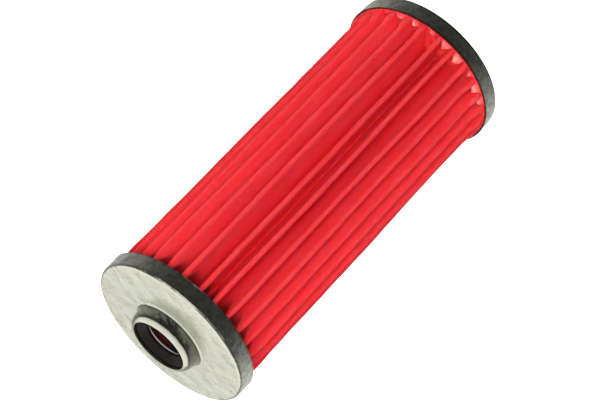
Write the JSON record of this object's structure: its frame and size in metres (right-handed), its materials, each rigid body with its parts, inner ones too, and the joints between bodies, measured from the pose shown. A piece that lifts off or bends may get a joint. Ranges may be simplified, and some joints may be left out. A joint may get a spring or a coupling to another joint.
{
  "type": "fuel filter cartridge",
  "caption": "Cylindrical drop-in fuel filter: folded red paper between two pressed steel caps, one with a drawn neck and a rubber seal.",
  "frame": {"origin": "centre of the closed end's flat face", "axes": "+Z along the cartridge's axis, from the closed end to the neck; the paper's glued seam is on the +Y side"},
  "size_m": [0.036, 0.036, 0.0887],
  "materials": {
    "cap_steel": "dull tinplate",
    "cup_steel": "bright tinplate",
    "tube_steel": "dull tinplate",
    "seal_rubber": "matte black",
    "filter_paper": "matte, resin treated",
    "seam_glue": "set glue",
    "adhesive": "set plastisol"
  },
  "bodies": {
    "root": {"open_end_cap": "cap_steel", "closed_end_cap": "cap_steel", "seal_ring": "seal_rubber", "seal_cup": "cup_steel", "pleated_paper": "filter_paper", "paper_seam_glue": "seam_glue", "center_tube": "tube_steel", "open_end_adhesive": "adhesive", "closed_end_adhesive": "adhesive"}
  },
  "joints": []
}
